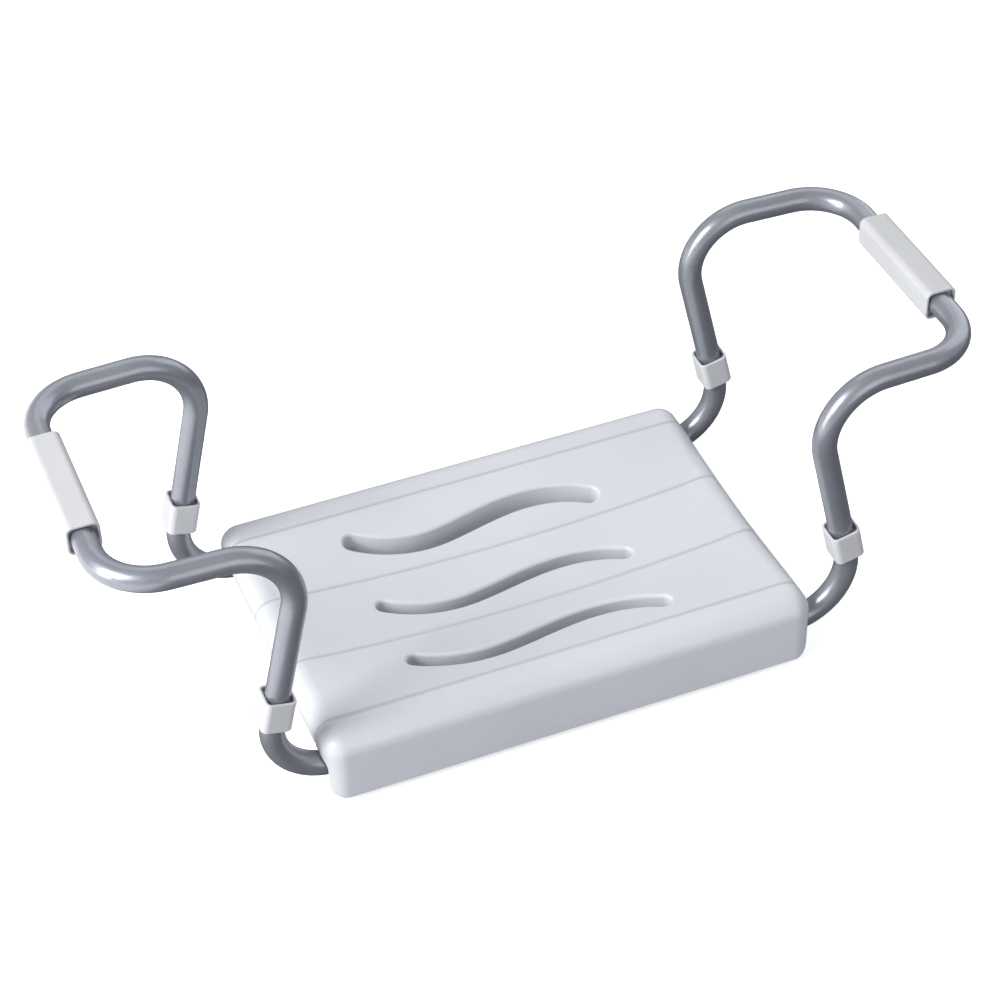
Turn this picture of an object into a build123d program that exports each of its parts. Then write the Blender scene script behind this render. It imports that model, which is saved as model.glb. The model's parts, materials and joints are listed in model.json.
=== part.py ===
from build123d import *
import os
from math import cos, radians, sin

# Extendable bath seat: a moulded plastic seat hangs in the bath from two bent tube arms. Each arm's
# two legs telescope in guide tubes under the seat, and four thumb knobs lock them.
# Millimetres. +X runs across the bath, from rim to rim, +Y to the back of the seat, +Z up.
# The origin is below the middle of the seat, level with the thumb knobs' undersides.

# Driving dimensions: seat
axis_z = 29.0  # height of the guide tubes' axes
seat_length = 400.0
seat_depth = 272.0
seat_top = axis_z + 33.0
skirt_bottom = axis_z - 24.0
seat_wall = 3.0
corner_radius = 16.0
top_edge_radius = 15.0
skirt_corner_radius = 15.0
dish_depth = 17.0
dish_half_depth = 112.0  # the dish fades out before the front and rear edges
dish_end_share = 0.15  # share of the dish that is left at the ends of the seat
end_opening_top = axis_z + 12.5
end_opening_width = 257.0
end_opening_radius = 9.0
end_opening_reach = 14.0  # how far the openings are cut in from the ends

groove_ys = (-107.0, -36.0, 36.0, 107.0)
groove_width = 4.4
groove_sink = 0.5

slot_spacing = 71.5
slot_shift = -5.0
# Middle line of a drain slot: x, and the offset in y from the slot's own line.
slot_wave = ((-104, 10), (-82, -1), (-52, -6.5), (-6, 0), (38, 6), (70, 2), (93, -8))
slot_widths = {-1: 14.0, 0: 12.0, 1: 15.5}  # front, middle and rear drain slot
slot_collar_bottom = axis_z + 0.5
slot_collar_wall = 2.5
slot_rim_radius = 2.5

rib_width = 2.5
long_rib_bottom = axis_z + 2.0
cross_rib_x = 130.0
cross_rib_bottom = axis_z + 12.0

# Driving dimensions: arms
tube_radius = 9.5
tube_wall = 1.2
leg_y = 117.0
rim_corner_y = 112.0  # the legs close in a little towards the rim
leg_end_x = 60.0
low_corner_x = 246.0
high_corner_x = 195.0
rim_x = 335.0
rim_rise = 221.0  # height of the rim tube's axis above the guide tubes' axes
low_bend_radius = 47.0
high_bend_radius = 47.0
rim_bend_radius = 44.0

sleeve_side = 25.0
sleeve_corner = 5.5
sleeve_length = 108.0

bumper_side = 24.0
bumper_corner = 5.0
bumper_height = 27.0
bumper_rise = 71.0  # height of a bumper's middle above the guide tubes' axes

# Sleeves and bumpers are hollow at their ends, so a thin wall stands round the tube there.
collar_wall = 1.8
collar_recess = 4.0
collar_edge_radius = 0.8

plug_length = 12.0
plug_wall = 1.8
plug_flange = 2.0

# Driving dimensions: guide tubes and locks
running_gap = 0.06
fixed_gap = 0.02
guide_radius = 11.0
guide_half_length = 168.0
mouth_radius = 13.0
mouth_grip = 8.0
mouth_lip = 3.0
mouth_edge_radius = 1.0

saddle_xs = (-100.0, 0.0, 100.0)
saddle_width = 24.0
saddle_thickness = 3.0
saddle_flange = 8.0
flange_corner = 3.0
cradle_offset = 8.0
cradle_width = 3.0
screw_y = 96.0
screw_spacing = 14.0
screw_radius = 1.9
screw_clearance = 0.2
screw_reach = 9.0
screw_head_radius = 3.9
screw_head_height = 2.4
recess_length = 4.4
recess_width = 0.9
recess_depth = 1.3
boss_radius = 4.5

lock_x = 145.0
nut_radius = 7.0
nut_height = 4.0
stud_radius = 3.0
stud_gap = 0.05
stud_hole_radius = 3.4
knob_radius = 13.0
knob_height = 13.0
knob_neck_radius = 8.5
knob_neck_height = 3.0
knob_floor = 3.0
knob_lobes = 8
knob_scallop_radius = 3.2
knob_edge_radius = 0.8

# Derived dimensions
half_length = seat_length / 2
half_depth = seat_depth / 2
rim_height = axis_z + rim_rise
guide_bore = tube_radius + running_gap
groove_radius = (groove_width**2 / 4 + groove_sink**2) / (2 * groove_sink)
below_seat = skirt_bottom - 5
above_seat = seat_top + 20
opening_height = end_opening_top - skirt_bottom + 2 * end_opening_radius
from_below = (Align.CENTER, Align.CENTER, Align.MIN)
from_above = (Align.CENTER, Align.CENTER, Align.MAX)
sides = {"left": -1, "right": 1}
rows = {"front": -1, "rear": 1}
screw_sites = [
    (x + shift, row * screw_y)
    for x in saddle_xs
    for shift in (-screw_spacing / 2, screw_spacing / 2)
    for row in rows.values()
]
corners = {
    f"{row_name}_{side_name}": (side, row)
    for row_name, row in rows.items()
    for side_name, side in sides.items()
}
lock_sites = [(side * lock_x, row * leg_y) for side, row in corners.values()]


def finish(piece, name):
    """Labels a finished piece and writes its STEP file."""
    piece.part.label = name
    export_step(piece.part, f"parts/{name}.step")


def dish_drop(x, y):
    """How far the seat surface lies below the seat's rim at a place."""
    across = max(0.0, 1 - (y / dish_half_depth) ** 2)
    along = max(0.0, 1 - (x / half_length) ** 2)
    return dish_depth * across**1.5 * (dish_end_share + (1 - dish_end_share) * along)


def seat_surface(sink):
    """The dished seat surface, sunk by a distance, as a face that reaches past the seat all round."""
    steps = 28
    reach_x = half_length + 20
    reach_y = half_depth + 20
    grid = []
    for i in range(steps + 1):
        x = reach_x * (2 * i / steps - 1)
        ys = [reach_y * (2 * j / steps - 1) for j in range(steps + 1)]
        grid.append([Vector(x, y, seat_top - sink - dish_drop(x, y)) for y in ys])
    return Face.make_surface_from_array_of_points(grid, tol=0.02, min_deg=3, max_deg=5)


def groove_course(y):
    """Points along the axis of a groove's round cutter: along the dish and down over both ends."""
    lift = groove_radius - groove_sink
    reach = half_length - top_edge_radius
    steps = 20
    middle = []
    for i in range(steps + 1):
        x = reach * (2 * i / steps - 1)
        fall = (dish_drop(x + 1, y) - dish_drop(x - 1, y)) / 2
        away = Vector(fall, 0, 1).normalized() * lift
        middle.append(Vector(x, y, seat_top - dish_drop(x, y)) + away)
    end_z = seat_top - dish_drop(reach, y) - top_edge_radius
    bend = top_edge_radius + lift
    turns = [radians(angle) for angle in (15, 30, 45, 60, 75, 90)]
    right_end = [Vector(reach + bend * sin(turn), y, end_z + bend * cos(turn)) for turn in turns]
    right_end.append(Vector(reach + bend, y, end_z - top_edge_radius))
    left_end = [Vector(-point.X, y, point.Z) for point in reversed(right_end)]
    return left_end + middle + right_end


def slot_band(row, width):
    """A drain slot's outline: a flat wave along the seat, widened to a band with round ends."""
    y = row * slot_spacing + slot_shift
    wave_points = [(x, y + offset) for x, offset in slot_wave]
    with BuildSketch() as band:
        with BuildLine():
            Spline(*wave_points)
        trace(line_width=width)
        with Locations(wave_points[0], wave_points[-1]):
            Circle(width / 2)
    return band.sketch


os.makedirs("parts", exist_ok=True)

# ---------------------------------------------------------------- seat shell
# The hollow under the seat. Ribs, tube cradles, screw bosses and the drain slots' collars are left
# standing in it, so they join the underside of the seat.
with BuildPart() as hollow:
    with BuildSketch(Plane.XY.offset(below_seat)):
        RectangleRounded(
            seat_length - 2 * seat_wall, seat_depth - 2 * seat_wall, corner_radius - seat_wall
        )
    extrude(amount=above_seat - skirt_bottom)
    extrude(seat_surface(seat_wall), amount=above_seat, dir=(0, 0, 1), mode=Mode.SUBTRACT)
    ceiling = hollow.faces().sort_by(Axis.Z)[-1]
    fillet(ceiling.outer_wire().edges(), top_edge_radius - seat_wall)
    with BuildSketch(Plane.XY.offset(slot_collar_bottom)):
        for row, width in slot_widths.items():
            add(slot_band(row, width + 2 * slot_collar_wall))
    extrude(amount=above_seat, mode=Mode.SUBTRACT)
    with BuildSketch(Plane.XY.offset(long_rib_bottom)):
        with Locations((0, groove_ys[1]), (0, groove_ys[2])):
            Rectangle(seat_length, rib_width)
    extrude(amount=above_seat, mode=Mode.SUBTRACT)
    with BuildSketch(Plane.XY.offset(cross_rib_bottom)):
        with Locations((-cross_rib_x, 0), (cross_rib_x, 0)):
            Rectangle(rib_width, seat_depth)
    extrude(amount=above_seat, mode=Mode.SUBTRACT)
    with BuildSketch(Plane.XY.offset(axis_z)):
        for x in saddle_xs:
            for row in rows.values():
                cradle_y = row * (screw_y + half_depth) / 2
                with Locations((x - cradle_offset, cradle_y), (x + cradle_offset, cradle_y)):
                    Rectangle(cradle_width, half_depth - screw_y)
        with Locations(*screw_sites):
            Circle(boss_radius)
    extrude(amount=above_seat, mode=Mode.SUBTRACT)

# Round cutters for the shallow grooves that part the seat surface into slats.
with BuildPart() as grooves:
    for y in groove_ys:
        with BuildLine() as course:
            Spline(*groove_course(y))
        with BuildSketch(Plane(course.line @ 0, z_dir=course.line % 0)):
            Circle(groove_radius)
        sweep(path=course.line)

with BuildPart() as bath_seat:
    with BuildSketch(Plane.XY.offset(skirt_bottom)):
        RectangleRounded(seat_length, seat_depth, corner_radius)
    extrude(amount=above_seat - skirt_bottom)
    extrude(seat_surface(0), amount=above_seat, dir=(0, 0, 1), mode=Mode.SUBTRACT)
    seat_face = bath_seat.faces().sort_by(Axis.Z)[-1]
    fillet(seat_face.outer_wire().edges(), top_edge_radius)
    # Drain slots with soft rims.
    plain_edges = bath_seat.edges()
    for row, width in slot_widths.items():
        with BuildSketch(Plane.XY.offset(below_seat)):
            add(slot_band(row, width))
        extrude(amount=above_seat, mode=Mode.SUBTRACT)
    slot_edges = (bath_seat.edges() - plain_edges).filter_by_position(Axis.Z, axis_z, seat_top)
    fillet(slot_edges.filter_by(lambda edge: abs(edge.tangent_at(0.5).Z) < 0.9), slot_rim_radius)
    add(grooves.part, mode=Mode.SUBTRACT)
    add(hollow.part, mode=Mode.SUBTRACT)
    # Openings in the end walls, where the arms come out.
    for side in sides.values():
        with BuildSketch(Plane.YZ.offset(side * half_length)):
            with Locations((0, end_opening_top - opening_height / 2)):
                RectangleRounded(end_opening_width, opening_height, end_opening_radius)
        extrude(amount=end_opening_reach, both=True, mode=Mode.SUBTRACT)
    # Round lower corners at the ends of both skirts.
    with BuildSketch(Plane.XZ) as skirt_corners:
        for side in sides.values():
            with Locations((side * half_length, skirt_bottom)):
                Rectangle(2 * skirt_corner_radius, 2 * skirt_corner_radius)
            inner_x = side * (half_length - skirt_corner_radius)
            with Locations((inner_x, skirt_bottom + skirt_corner_radius)):
                Circle(skirt_corner_radius, mode=Mode.SUBTRACT)
    extrude(amount=half_depth + 5, both=True, mode=Mode.SUBTRACT)
    # Half-round beds for the guide tubes, and pilot holes for the saddle screws.
    with BuildSketch(Plane.YZ.offset(-guide_half_length)):
        with Locations((-leg_y, axis_z), (leg_y, axis_z)):
            Circle(guide_radius + fixed_gap)
    extrude(amount=2 * guide_half_length, mode=Mode.SUBTRACT)
    with Locations(*[(x, y, axis_z) for x, y in screw_sites]):
        Cylinder(screw_radius + fixed_gap, 2 * screw_reach + 2, mode=Mode.SUBTRACT)
finish(bath_seat, "bath_seat")

# ---------------------------------------------------------------- guide tubes, saddles and screws
for row_name, row in rows.items():
    with BuildPart() as guide_tube:
        with BuildSketch(Plane.YZ.offset(-guide_half_length)):
            with Locations((row * leg_y, axis_z)):
                Circle(guide_radius)
                Circle(guide_bore, mode=Mode.SUBTRACT)
        extrude(amount=2 * guide_half_length)
        with Locations(*[(side * lock_x, row * leg_y, skirt_bottom) for side in sides.values()]):
            Cylinder(stud_hole_radius, axis_z - skirt_bottom, align=from_below, mode=Mode.SUBTRACT)
    finish(guide_tube, f"{row_name}_guide_tube")

    # Saddles: half-round straps under the guide tube, with a flange that two screws hold.
    for place, x in zip(("left", "middle", "right"), saddle_xs):
        with BuildPart() as saddle:
            with BuildSketch(Plane.YZ.offset(x - saddle_width / 2)):
                with Locations((row * leg_y, axis_z)):
                    Circle(guide_radius + saddle_thickness)
                flange_reach = leg_y - screw_y + saddle_flange
                with Locations((row * (leg_y - flange_reach / 2), axis_z)):
                    Rectangle(flange_reach, 2 * saddle_thickness)
                with Locations((row * leg_y, axis_z + guide_radius)):
                    Rectangle(2 * flange_reach, 2 * guide_radius, mode=Mode.SUBTRACT)
                with Locations((row * leg_y, axis_z)):
                    Circle(guide_radius + fixed_gap, mode=Mode.SUBTRACT)
            extrude(amount=saddle_width)
            fillet(saddle.edges().filter_by(Axis.Z), flange_corner)
            with Locations((x, row * screw_y, axis_z)):
                with GridLocations(screw_spacing, 0, 2, 1):
                    Cylinder(screw_radius + screw_clearance, 4 * saddle_thickness, mode=Mode.SUBTRACT)
        finish(saddle, f"{row_name}_{place}_saddle")

# Self-tapping pan-head screws that hold the saddles to the seat's bosses, one group.
with BuildPart() as saddle_screws:
    with Locations(*[(x, y, axis_z - saddle_thickness) for x, y in screw_sites]):
        Cylinder(screw_radius, saddle_thickness + screw_reach, align=from_below)
        Cylinder(screw_head_radius, screw_head_height, align=from_above)
    head_rims = saddle_screws.edges().group_by(Axis.Z)[0]
    fillet(head_rims, screw_head_height / 2)
    with Locations(*[(x, y, axis_z - saddle_thickness - screw_head_height) for x, y in screw_sites]):
        Box(recess_length, recess_width, 2 * recess_depth, mode=Mode.SUBTRACT)
        Box(recess_width, recess_length, 2 * recess_depth, mode=Mode.SUBTRACT)
    chamfer(saddle_screws.edges().group_by(Axis.Z)[-1], screw_radius / 2)
finish(saddle_screws, "saddle_screws")

# Hexagon nuts welded under the guide tubes, one group.
with BuildPart() as weld_nuts:
    with BuildSketch(Plane.XY.offset(axis_z - guide_radius - nut_height)):
        with Locations(*lock_sites):
            RegularPolygon(nut_radius, 6)
            Circle(stud_radius + running_gap, mode=Mode.SUBTRACT)
    extrude(amount=nut_height + nut_radius / 2)
    with BuildSketch(Plane.YZ.offset(-guide_half_length)):
        with Locations((-leg_y, axis_z), (leg_y, axis_z)):
            Circle(guide_radius + fixed_gap)
    extrude(amount=2 * guide_half_length, mode=Mode.SUBTRACT)
finish(weld_nuts, "weld_nuts")

# ---------------------------------------------------------------- lock knobs and mouth rings
for corner, (side, row) in corners.items():
    with BuildPart() as mouth_ring:
        with BuildSketch(Plane.YZ.offset(side * (guide_half_length - mouth_grip))):
            with Locations((row * leg_y, axis_z)):
                Circle(mouth_radius)
        extrude(amount=side * (mouth_grip + mouth_lip))
        with BuildSketch(Plane.YZ.offset(side * (guide_half_length - mouth_grip))):
            with Locations((row * leg_y, axis_z)):
                Circle(guide_radius + fixed_gap)
        extrude(amount=side * mouth_grip, mode=Mode.SUBTRACT)
        with BuildSketch(Plane.YZ.offset(side * guide_half_length)):
            with Locations((row * leg_y, axis_z)):
                Circle(guide_bore)
        extrude(amount=side * mouth_lip, mode=Mode.SUBTRACT)
        round_edges = mouth_ring.edges().filter_by(GeomType.CIRCLE)
        fillet(round_edges.filter_by(lambda edge: edge.radius == mouth_radius), mouth_edge_radius)
    finish(mouth_ring, f"{corner}_mouth_ring")

    # Steel stud: its rounded tip presses up on the leg through the guide tube.
    with BuildPart() as lock_stud:
        with Locations((side * lock_x, row * leg_y, knob_floor)):
            Cylinder(stud_radius, axis_z - tube_radius - stud_gap - knob_floor, align=from_below)
        chamfer(lock_stud.edges().group_by(Axis.Z)[-1], stud_radius / 4)
    finish(lock_stud, f"{corner}_lock_stud")

    # Thumb knob with finger scallops round its rim, moulded round the stud's lower end.
    with BuildPart() as lock_knob:
        with BuildSketch():
            with Locations((side * lock_x, row * leg_y)):
                Circle(knob_radius)
                with PolarLocations(knob_radius + knob_scallop_radius / 2, knob_lobes):
                    Circle(knob_scallop_radius, mode=Mode.SUBTRACT)
        extrude(amount=knob_height - knob_neck_height)
        levels = lock_knob.edges().group_by(Axis.Z)
        fillet(levels[0] + levels[-1], knob_edge_radius)
        with Locations((side * lock_x, row * leg_y, knob_height - knob_neck_height)):
            Cylinder(knob_neck_radius, knob_neck_height, align=from_below)
        chamfer(lock_knob.edges().group_by(Axis.Z)[-1], knob_edge_radius)
        with Locations((side * lock_x, row * leg_y, knob_floor)):
            Cylinder(stud_radius + fixed_gap, knob_height, align=from_below, mode=Mode.SUBTRACT)
    finish(lock_knob, f"{corner}_lock_knob")

    # Plug that closes a leg's open end and glides in the guide tube.
    with BuildPart() as leg_plug:
        with BuildSketch(Plane.YZ.offset(side * leg_end_x)):
            with Locations((row * leg_y, axis_z)):
                Circle(tube_radius - tube_wall - fixed_gap)
                Circle(tube_radius - tube_wall - plug_wall, mode=Mode.SUBTRACT)
        extrude(amount=side * plug_length)
        with BuildSketch(Plane.YZ.offset(side * leg_end_x)):
            with Locations((row * leg_y, axis_z)):
                Circle(tube_radius)
        extrude(amount=-side * plug_flange)
        chamfer(leg_plug.faces().sort_by(Axis.X)[0 if side > 0 else -1].edges(), plug_flange / 3)
    finish(leg_plug, f"{corner}_leg_plug")

    # Bumper that keeps the leg off the bath wall: a rounded square collar round the leaning leg.
    bumper_x = low_corner_x - bumper_rise * (low_corner_x - high_corner_x) / rim_rise
    across_leg = Plane(
        origin=(side * bumper_x, row * leg_y, axis_z + bumper_rise),
        x_dir=(side * rim_rise, 0, low_corner_x - high_corner_x),
        z_dir=(side * (high_corner_x - low_corner_x), 0, rim_rise),
    )
    low_end = across_leg.offset(-bumper_height / 2)
    with BuildPart() as bumper:
        with BuildSketch(low_end):
            RectangleRounded(bumper_side, bumper_side, bumper_corner)
        extrude(amount=bumper_height)
        ends = bumper.faces().filter_by(lambda face: abs(face.normal_at().dot(across_leg.z_dir)) > 0.9)
        fillet(ends.edges(), collar_edge_radius)
        with BuildSketch(low_end, across_leg.offset(bumper_height / 2 - collar_recess)):
            hollow_side = bumper_side - 2 * collar_wall
            RectangleRounded(hollow_side, hollow_side, bumper_corner - collar_wall)
        extrude(amount=collar_recess, mode=Mode.SUBTRACT)
        with BuildSketch(low_end):
            Circle(tube_radius + fixed_gap)
        extrude(amount=bumper_height, mode=Mode.SUBTRACT)
    finish(bumper, f"{corner}_bumper")

# ---------------------------------------------------------------- arms
for side_name, side in sides.items():
    leg_points = [
        (side * leg_end_x, leg_y, axis_z),
        (side * low_corner_x, leg_y, axis_z),
        (side * high_corner_x, leg_y, rim_height),
        (side * rim_x, rim_corner_y, rim_height),
    ]
    front_points = [(x, -y, z) for x, y, z in leg_points]
    bend_radii = [low_bend_radius, high_bend_radius, rim_bend_radius]
    with BuildPart() as arm_tube:
        with BuildLine():
            FilletPolyline(*front_points, *reversed(leg_points), radius=bend_radii + bend_radii[::-1])
        with BuildSketch(Plane(front_points[0], x_dir=(0, 1, 0), z_dir=(side, 0, 0))):
            Circle(tube_radius)
            Circle(tube_radius - tube_wall, mode=Mode.SUBTRACT)
        sweep()
    finish(arm_tube, f"{side_name}_arm_tube")

    with BuildPart() as rim_sleeve:
        with BuildSketch(Plane.XZ):
            with Locations((side * rim_x, rim_height)):
                RectangleRounded(sleeve_side, sleeve_side, sleeve_corner)
        extrude(amount=sleeve_length / 2, both=True)
        fillet(rim_sleeve.faces().filter_by(Axis.Y).edges(), collar_edge_radius)
        rear_end = Plane.XZ.offset(-sleeve_length / 2)
        with BuildSketch(rear_end, Plane.XZ.offset(sleeve_length / 2 - collar_recess)):
            with Locations((side * rim_x, rim_height)):
                hollow_side = sleeve_side - 2 * collar_wall
                RectangleRounded(hollow_side, hollow_side, sleeve_corner - collar_wall)
        extrude(amount=collar_recess, mode=Mode.SUBTRACT)
        with BuildSketch(Plane.XZ):
            with Locations((side * rim_x, rim_height)):
                Circle(tube_radius + fixed_gap)
        extrude(amount=sleeve_length / 2, both=True, mode=Mode.SUBTRACT)
    finish(rim_sleeve, f"{side_name}_rim_sleeve")
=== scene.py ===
"""Looks of the extendable bath seat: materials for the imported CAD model, stage, lights and camera."""

import json
import math

import bpy
from mathutils import Matrix, Vector


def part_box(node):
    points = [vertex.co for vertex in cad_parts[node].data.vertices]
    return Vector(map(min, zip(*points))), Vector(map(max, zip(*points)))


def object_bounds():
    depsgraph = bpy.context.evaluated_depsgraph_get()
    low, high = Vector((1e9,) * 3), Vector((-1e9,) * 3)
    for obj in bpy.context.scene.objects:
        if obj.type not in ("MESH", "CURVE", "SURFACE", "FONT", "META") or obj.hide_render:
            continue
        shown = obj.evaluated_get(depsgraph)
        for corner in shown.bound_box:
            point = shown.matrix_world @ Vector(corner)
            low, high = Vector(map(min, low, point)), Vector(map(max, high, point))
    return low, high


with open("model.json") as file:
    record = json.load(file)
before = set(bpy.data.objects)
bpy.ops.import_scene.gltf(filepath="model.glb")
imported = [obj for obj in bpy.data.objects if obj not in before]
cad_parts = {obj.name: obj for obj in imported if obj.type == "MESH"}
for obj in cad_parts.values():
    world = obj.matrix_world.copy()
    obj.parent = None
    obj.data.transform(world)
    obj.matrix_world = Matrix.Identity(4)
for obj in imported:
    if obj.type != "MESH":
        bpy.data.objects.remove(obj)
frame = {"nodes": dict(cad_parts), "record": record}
cad_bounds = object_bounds()
nodes = frame["nodes"]
scene = bpy.context.scene


# ---------------------------------------------------------------- material helpers

# The Mix node's colour sockets share their names with its other data types, so they go by place.
mix_first = 6
mix_second = 7
mix_result = 2


class Shader:
    """A node material with short calls for the nodes that every finish here is made of."""

    def __init__(self, name):
        self.material = bpy.data.materials.new(name)
        self.material.use_nodes = True
        self.tree = self.material.node_tree
        self.surface = self.tree.nodes["Principled BSDF"]
        self.place = self.add("ShaderNodeTexCoord").outputs["Object"]

    def add(self, kind, **settings):
        """Adds a node of a kind, with its settings."""
        node = self.tree.nodes.new(kind)
        for key, value in settings.items():
            setattr(node, key, value)
        return node

    def link(self, source, target):
        self.tree.links.new(source, target)

    def set(self, **values):
        """Sets plain values of the surface, with _ for the spaces in their names."""
        for key, value in values.items():
            self.surface.inputs[key.replace("_", " ")].default_value = value

    def stretched(self, x, y, z):
        """Object coordinates scaled per axis, for grain that runs one way."""
        mapping = self.add("ShaderNodeMapping")
        mapping.inputs["Scale"].default_value = (x, y, z)
        self.link(self.place, mapping.inputs["Vector"])
        return mapping.outputs["Vector"]

    def noise(self, scale, detail=2.0, roughness=0.5, vector=None):
        """Noise from 0 to 1. Scale is in cells per metre."""
        node = self.add("ShaderNodeTexNoise")
        node.inputs["Scale"].default_value = scale
        node.inputs["Detail"].default_value = detail
        node.inputs["Roughness"].default_value = roughness
        self.link(vector or self.place, node.inputs["Vector"])
        return node.outputs["Fac"]

    def spread(self, value, low, high, start=0.35, end=0.65):
        """Maps a value between start and end onto low to high."""
        node = self.add("ShaderNodeMapRange")
        for key, number in (("From Min", start), ("From Max", end), ("To Min", low), ("To Max", high)):
            node.inputs[key].default_value = number
        self.link(value, node.inputs["Value"])
        return node.outputs["Result"]

    def mix(self, factor, first, second, blend="MIX"):
        """Mixes two colours, each a tuple or a socket."""
        node = self.add("ShaderNodeMix", data_type="RGBA", blend_type=blend)
        self.fill(node.inputs["Factor"], factor)
        self.fill(node.inputs[mix_first], first)
        self.fill(node.inputs[mix_second], second)
        return node.outputs[mix_result]

    def fill(self, target, value):
        """Gives an input a socket to follow, a colour or a number."""
        if isinstance(value, bpy.types.NodeSocket):
            self.link(value, target)
        elif isinstance(value, tuple):
            target.default_value = (*value, 1.0)
        else:
            target.default_value = value

    def math(self, operation, first, second=0.0):
        """One step of arithmetic on two values, each a number or a socket."""
        node = self.add("ShaderNodeMath", operation=operation)
        self.fill(node.inputs[0], first)
        self.fill(node.inputs[1], second)
        return node.outputs["Value"]

    def crevices(self, reach):
        """1 in the open, falling towards 0 in corners that are narrower than reach."""
        node = self.add("ShaderNodeAmbientOcclusion", samples=8)
        node.inputs["Distance"].default_value = reach
        return node.outputs["AO"]

    def bump(self, *layers):
        """Stacks bump layers, each (height, depth in metres)."""
        normal = None
        for height, depth in layers:
            node = self.add("ShaderNodeBump")
            node.inputs["Strength"].default_value = 1.0
            node.inputs["Distance"].default_value = depth
            self.link(height, node.inputs["Height"])
            if normal is not None:
                self.link(normal, node.inputs["Normal"])
            normal = node.outputs["Normal"]
        self.link(normal, self.surface.inputs["Normal"])

    def drive(self, name, value):
        """Gives one of the surface's inputs a socket, a colour or a number."""
        self.fill(self.surface.inputs[name], value)


# ---------------------------------------------------------------- materials

# The seat's grooves lie in two pairs, front and rear: a pair's middle and half its spacing, in metres.
pair_middle = 0.0715
pair_reach = 0.0355

# White plastic scatters red, green and blue light equally far.
even_scatter = (1.0, 1.0, 1.0)


def painted_groove_shade(shader):
    """1 in the middle of the seat's four grooves, fading to 0 at their rims: where a painted shade line
    darkens each groove.
    """
    full_reach = 0.0004
    faded_reach = 0.0022
    place = shader.add("ShaderNodeSeparateXYZ")
    shader.link(shader.place, place.inputs["Vector"])
    from_middle = shader.math("ABSOLUTE", place.outputs["Y"])
    from_pair = shader.math("ABSOLUTE", shader.math("SUBTRACT", from_middle, pair_middle))
    from_groove = shader.math("ABSOLUTE", shader.math("SUBTRACT", from_pair, pair_reach))
    return shader.spread(from_groove, 1.0, 0.0, full_reach, faded_reach)


def seat_plastic():
    """Glossy moulded plastic, cool white, with a fine mould grain, painted shade in the deepest corners and
    a painted shade line along the grooves.
    """
    shader = Shader("seat_plastic_white")
    dull_white = (0.70, 0.715, 0.755)
    light_white = (0.735, 0.75, 0.785)
    crevice_shade = (0.50, 0.515, 0.555)
    groove_shade_grey = (0.56, 0.575, 0.61)
    cloud = shader.spread(shader.noise(9.0, 3.0), 0.0, 1.0)
    clean = shader.mix(cloud, dull_white, light_white)
    # Painted shade: the colour turns grey in corners narrower than 6 mm, where shade falls.
    shade = shader.spread(shader.crevices(0.006), 1.0, 0.0, 0.35, 0.95)
    toned = shader.mix(shade, clean, crevice_shade)
    # Painted shade: a thin grey line down the middle of each groove.
    shader.drive("Base Color", shader.mix(painted_groove_shade(shader), toned, groove_shade_grey))
    scuff = shader.spread(shader.noise(60.0, 4.0, 0.65), 0.30, 0.42)
    shader.drive("Roughness", scuff)
    mould_grain = (shader.noise(900.0, 2.0), 0.00003)
    slow_waves = (shader.noise(14.0, 1.0), 0.0004)
    shader.bump(mould_grain, slow_waves)
    shader.set(IOR=1.5, Subsurface_Weight=0.08, Subsurface_Scale=0.004, Subsurface_Radius=even_scatter)
    return shader.material


def fitting_plastic():
    """Satin white plastic of the rim sleeves and bumpers."""
    shader = Shader("fitting_plastic_white")
    dull_white = (0.63, 0.635, 0.65)
    light_white = (0.67, 0.675, 0.69)
    crevice_shade = (0.54, 0.54, 0.56)
    cloud = shader.spread(shader.noise(25.0, 3.0), 0.0, 1.0)
    clean = shader.mix(cloud, dull_white, light_white)
    # Painted shade: the colour turns grey in corners narrower than 3 mm, where shade falls round the tubes.
    shade = shader.spread(shader.crevices(0.003), 1.0, 0.0, 0.35, 0.95)
    shader.drive("Base Color", shader.mix(shade, clean, crevice_shade))
    shader.drive("Roughness", shader.spread(shader.noise(120.0, 4.0, 0.6), 0.34, 0.48))
    mould_grain = (shader.noise(1400.0, 2.0), 0.00003)
    shader.bump(mould_grain)
    shader.set(IOR=1.5, Subsurface_Weight=0.08, Subsurface_Scale=0.003, Subsurface_Radius=even_scatter)
    return shader.material


def arm_paint():
    """Silver-grey metallic lacquer: fine flakes under a slightly wavy coat."""
    shader = Shader("arm_lacquer_silver")
    dark_grey = (0.215, 0.228, 0.265)
    mid_grey = (0.26, 0.273, 0.31)
    flake_silver = (0.33, 0.342, 0.38)
    flakes = shader.spread(shader.noise(2600.0, 1.0), 0.0, 1.0)
    tone = shader.spread(shader.noise(30.0, 3.0), 0.0, 1.0)
    base = shader.mix(tone, dark_grey, mid_grey)
    shader.drive("Base Color", shader.mix(flakes, base, flake_silver))
    shader.drive("Roughness", shader.spread(shader.noise(90.0, 4.0, 0.6), 0.30, 0.38))
    flake_grain = (shader.noise(1800.0, 2.0), 0.00001)
    coat_waves = (shader.noise(110.0, 1.0), 0.00004)
    shader.bump(flake_grain, coat_waves)
    shader.set(Metallic=0.5, IOR=1.5, Coat_Weight=0.7, Coat_Roughness=0.1)
    return shader.material


def drawn_steel():
    """Zinc-plated tube with drawing lines along X."""
    shader = Shader("guide_tube_zinc")
    dull_zinc = (0.50, 0.51, 0.52)
    bright_zinc = (0.64, 0.65, 0.66)
    lines = shader.noise(1.0, 4.0, 0.7, shader.stretched(12.0, 1600.0, 1600.0))
    bloom = shader.spread(shader.noise(70.0, 4.0, 0.6), 0.0, 1.0)
    shader.drive("Base Color", shader.mix(bloom, dull_zinc, bright_zinc))
    shader.drive("Roughness", shader.spread(lines, 0.28, 0.48))
    shader.bump((lines, 0.00002))
    shader.set(Metallic=1.0)
    return shader.material


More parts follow.
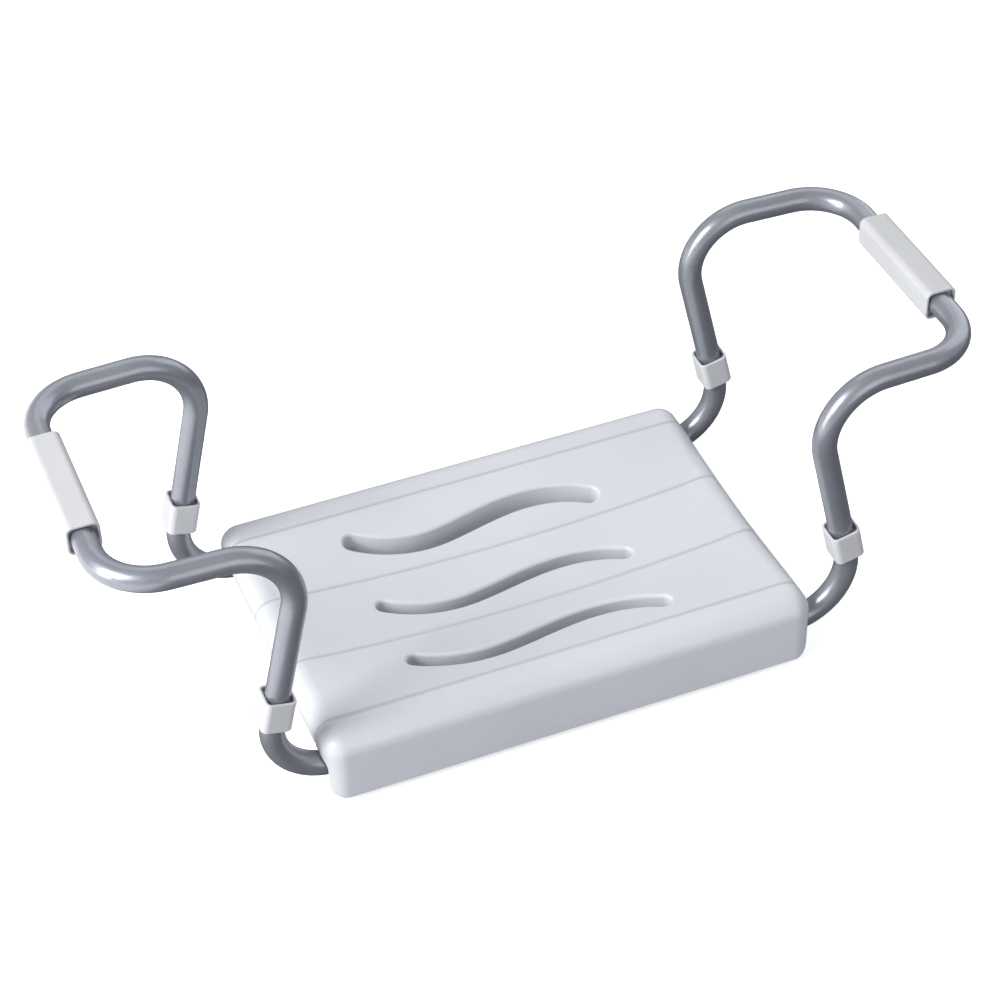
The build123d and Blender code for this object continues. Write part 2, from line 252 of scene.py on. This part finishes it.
def plated_steel():
    """Bright zinc on screws, nuts and studs, with dull patches."""
    shader = Shader("fastener_zinc")
    dull_zinc = (0.56, 0.57, 0.58)
    bright_zinc = (0.72, 0.72, 0.70)
    bloom = shader.spread(shader.noise(300.0, 3.0), 0.0, 1.0)
    shader.drive("Base Color", shader.mix(bloom, dull_zinc, bright_zinc))
    shader.drive("Roughness", shader.spread(shader.noise(500.0, 3.0), 0.22, 0.42))
    plating_grain = (shader.noise(2200.0, 2.0), 0.00001)
    shader.bump(plating_grain)
    shader.set(Metallic=1.0)
    return shader.material


def knob_plastic():
    """Grey spark-eroded plastic of the thumb knobs, paler where fingers polish it."""
    shader = Shader("knob_plastic_grey")
    dark_grey = (0.20, 0.205, 0.22)
    polished_grey = (0.25, 0.255, 0.27)
    grain = shader.noise(2400.0, 2.0, 0.6)
    worn = shader.spread(shader.noise(90.0, 3.0), 0.0, 1.0)
    shader.drive("Base Color", shader.mix(worn, dark_grey, polished_grey))
    shader.drive("Roughness", shader.spread(worn, 0.42, 0.58, 0.0, 1.0))
    shader.bump((grain, 0.00006))
    return shader.material


def glide_plastic():
    """Natural grey nylon of the saddles, mouth rings and leg plugs."""
    shader = Shader("glide_nylon_grey")
    dull_nylon = (0.42, 0.43, 0.44)
    pale_nylon = (0.50, 0.51, 0.52)
    cloud = shader.spread(shader.noise(60.0, 3.0), 0.0, 1.0)
    shader.drive("Base Color", shader.mix(cloud, dull_nylon, pale_nylon))
    shader.drive("Roughness", shader.spread(shader.noise(200.0, 3.0), 0.40, 0.55))
    mould_grain = (shader.noise(1500.0, 2.0), 0.00004)
    shader.bump(mould_grain)
    shader.set(Subsurface_Weight=0.05, Subsurface_Scale=0.002, Subsurface_Radius=even_scatter)
    return shader.material


finishes = {
    "seat_plastic": seat_plastic(),
    "fitting_plastic": fitting_plastic(),
    "arm_tube": arm_paint(),
    "guide_steel": drawn_steel(),
    "plated_steel": plated_steel(),
    "knob_plastic": knob_plastic(),
    "glide_plastic": glide_plastic(),
}
for entry in frame["record"]["subparts"]:
    node = nodes[entry["node"]]
    node.data.materials.clear()
    node.data.materials.append(finishes[entry["material_slot"]])

# ---------------------------------------------------------------- stage, light and camera


def build_floor():
    """A pale floor that glows a little, so that shadows on it stay soft and light."""
    half = 6.0
    gap_below = 0.001
    corners = [(-half, -half, 0), (half, -half, 0), (half, half, 0), (-half, half, 0)]
    mesh = bpy.data.meshes.new("floor")
    mesh.from_pydata(corners, [], [(0, 1, 2, 3)])
    floor = bpy.data.objects.new("floor", mesh)
    scene.collection.objects.link(floor)
    floor.location.z = cad_bounds[0][2] - gap_below
    shader = Shader("floor_pale")
    path = shader.add("ShaderNodeLightPath")
    seen = path.outputs["Is Camera Ray"]
    mirrored = path.outputs["Is Glossy Ray"]
    # The floor's colour as it lights the object, as it is mirrored and as the camera sees it.
    bounced = (0.42, 0.435, 0.465)
    reflected = (0.12, 0.125, 0.135)
    pale_paper = (0.88, 0.885, 0.90)
    fibre = shader.spread(shader.noise(40.0, 4.0), 0.98, 1.0)
    unseen = shader.mix(mirrored, bounced, reflected)
    paper = shader.mix(seen, unseen, pale_paper)
    shader.drive("Base Color", shader.mix(1.0, paper, fibre, "MULTIPLY"))
    # Painted reflection: a glowing strip on the left of the floor, seen only in the tubes' reflections,
    # which gives the tubes' left sides their highlight.
    reflection_strip_edge = (-0.46, -0.32)
    reflection_strip_glow = (1.35, 1.35, 1.4)
    black = (0.0, 0.0, 0.0)
    bounced_glow = (0.05, 0.05, 0.05)
    paper_glow = (0.62, 0.62, 0.62)
    place = shader.add("ShaderNodeSeparateXYZ")
    shader.link(shader.place, place.inputs["Vector"])
    reflection_strip = shader.spread(place.outputs["X"], 1.0, 0.0, *reflection_strip_edge)
    unseen_glow = shader.mix(mirrored, bounced_glow, shader.mix(reflection_strip, black, reflection_strip_glow))
    shader.drive("Emission Color", shader.mix(seen, unseen_glow, paper_glow))
    shader.set(Emission_Strength=1.0, Roughness=0.9)
    # Clear from below, so that the seat's underside can be looked at.
    clear = shader.add("ShaderNodeMixShader")
    below = shader.add("ShaderNodeNewGeometry").outputs["Backfacing"]
    shader.link(shader.math("MULTIPLY", below, seen), clear.inputs["Fac"])
    shader.link(shader.surface.outputs["BSDF"], clear.inputs[1])
    shader.link(shader.add("ShaderNodeBsdfTransparent").outputs["BSDF"], clear.inputs[2])
    output = shader.tree.nodes["Material Output"]
    shader.link(clear.outputs["Shader"], output.inputs["Surface"])
    mesh.materials.append(shader.material)


def direction(azimuth, elevation):
    """Unit vector from the object. Azimuth 0 is the front and 90 the right, in degrees."""
    around = math.radians(azimuth)
    up = math.radians(elevation)
    return Vector((math.sin(around) * math.cos(up), -math.cos(around) * math.cos(up), math.sin(up)))


def add_softbox(name, azimuth, elevation, size, power, tint=(1.0, 1.0, 1.0)):
    """A square area light that faces the middle of the seat."""
    light = bpy.data.lights.new(name, "AREA")
    light.shape = "SQUARE"
    light.size = size
    light.energy = power
    light.color = tint
    lamp = bpy.data.objects.new(name, light)
    scene.collection.objects.link(lamp)
    away = direction(azimuth, elevation)
    lamp.location = seat_middle + away * softbox_distance
    lamp.rotation_euler = away.to_track_quat("Z", "Y").to_euler()


def build_camera(azimuth, elevation, roll, distance, target, lens):
    """A camera that looks at target from the given direction, turned about its own axis by roll."""
    data = bpy.data.cameras.new("camera")
    data.lens = lens
    data.sensor_width = 36.0
    camera = bpy.data.objects.new("camera", data)
    scene.collection.objects.link(camera)
    away = direction(azimuth, elevation)
    facing = away.to_track_quat("Z", "Y").to_matrix().to_4x4()
    turn = Matrix.Rotation(math.radians(roll), 4, "Z")
    camera.matrix_world = Matrix.Translation(Vector(target) + away * distance) @ facing @ turn
    scene.camera = camera


def build_world(ambient, mirrored, backdrop):
    """A plain cool sky with its own brightness for lighting, for reflections and for the camera."""
    world = bpy.data.worlds.new("world")
    world.use_nodes = True
    tree = world.node_tree
    sky = tree.nodes["Background"]
    sky.inputs["Color"].default_value = (0.93, 0.95, 1.0, 1.0)
    path = tree.nodes.new("ShaderNodeLightPath")
    unseen = tree.nodes.new("ShaderNodeMapRange")
    unseen.inputs["To Min"].default_value = ambient
    unseen.inputs["To Max"].default_value = mirrored
    level = tree.nodes.new("ShaderNodeMapRange")
    level.inputs["To Max"].default_value = backdrop
    tree.links.new(path.outputs["Is Glossy Ray"], unseen.inputs["Value"])
    tree.links.new(unseen.outputs["Result"], level.inputs["To Min"])
    tree.links.new(path.outputs["Is Camera Ray"], level.inputs["Value"])
    tree.links.new(level.outputs["Result"], sky.inputs["Strength"])
    scene.world = world


cool_white = (0.95, 0.97, 1.0)
softbox_distance = 3.0
seat_low, seat_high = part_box("bath_seat")
seat_middle = (seat_low + seat_high) / 2

build_floor()
add_softbox("key_left", azimuth=-80, elevation=36, size=1.6, power=88)
add_softbox("low_left", azimuth=-85, elevation=8, size=1.0, power=22)
add_softbox("back_top", azimuth=165, elevation=48, size=1.8, power=8, tint=cool_white)
add_softbox("front_fill", azimuth=15, elevation=20, size=2.0, power=16)
add_softbox("rim_right", azimuth=115, elevation=30, size=2.5, power=24, tint=cool_white)
build_world(ambient=0.27, mirrored=0.6, backdrop=1.1)
build_camera(
    azimuth=-20.98, elevation=41.13, roll=-1.65, distance=2.0266, target=(-0.0046, 0.005, 0.1234), lens=94.66
)
scene.view_settings.view_transform = "Standard"
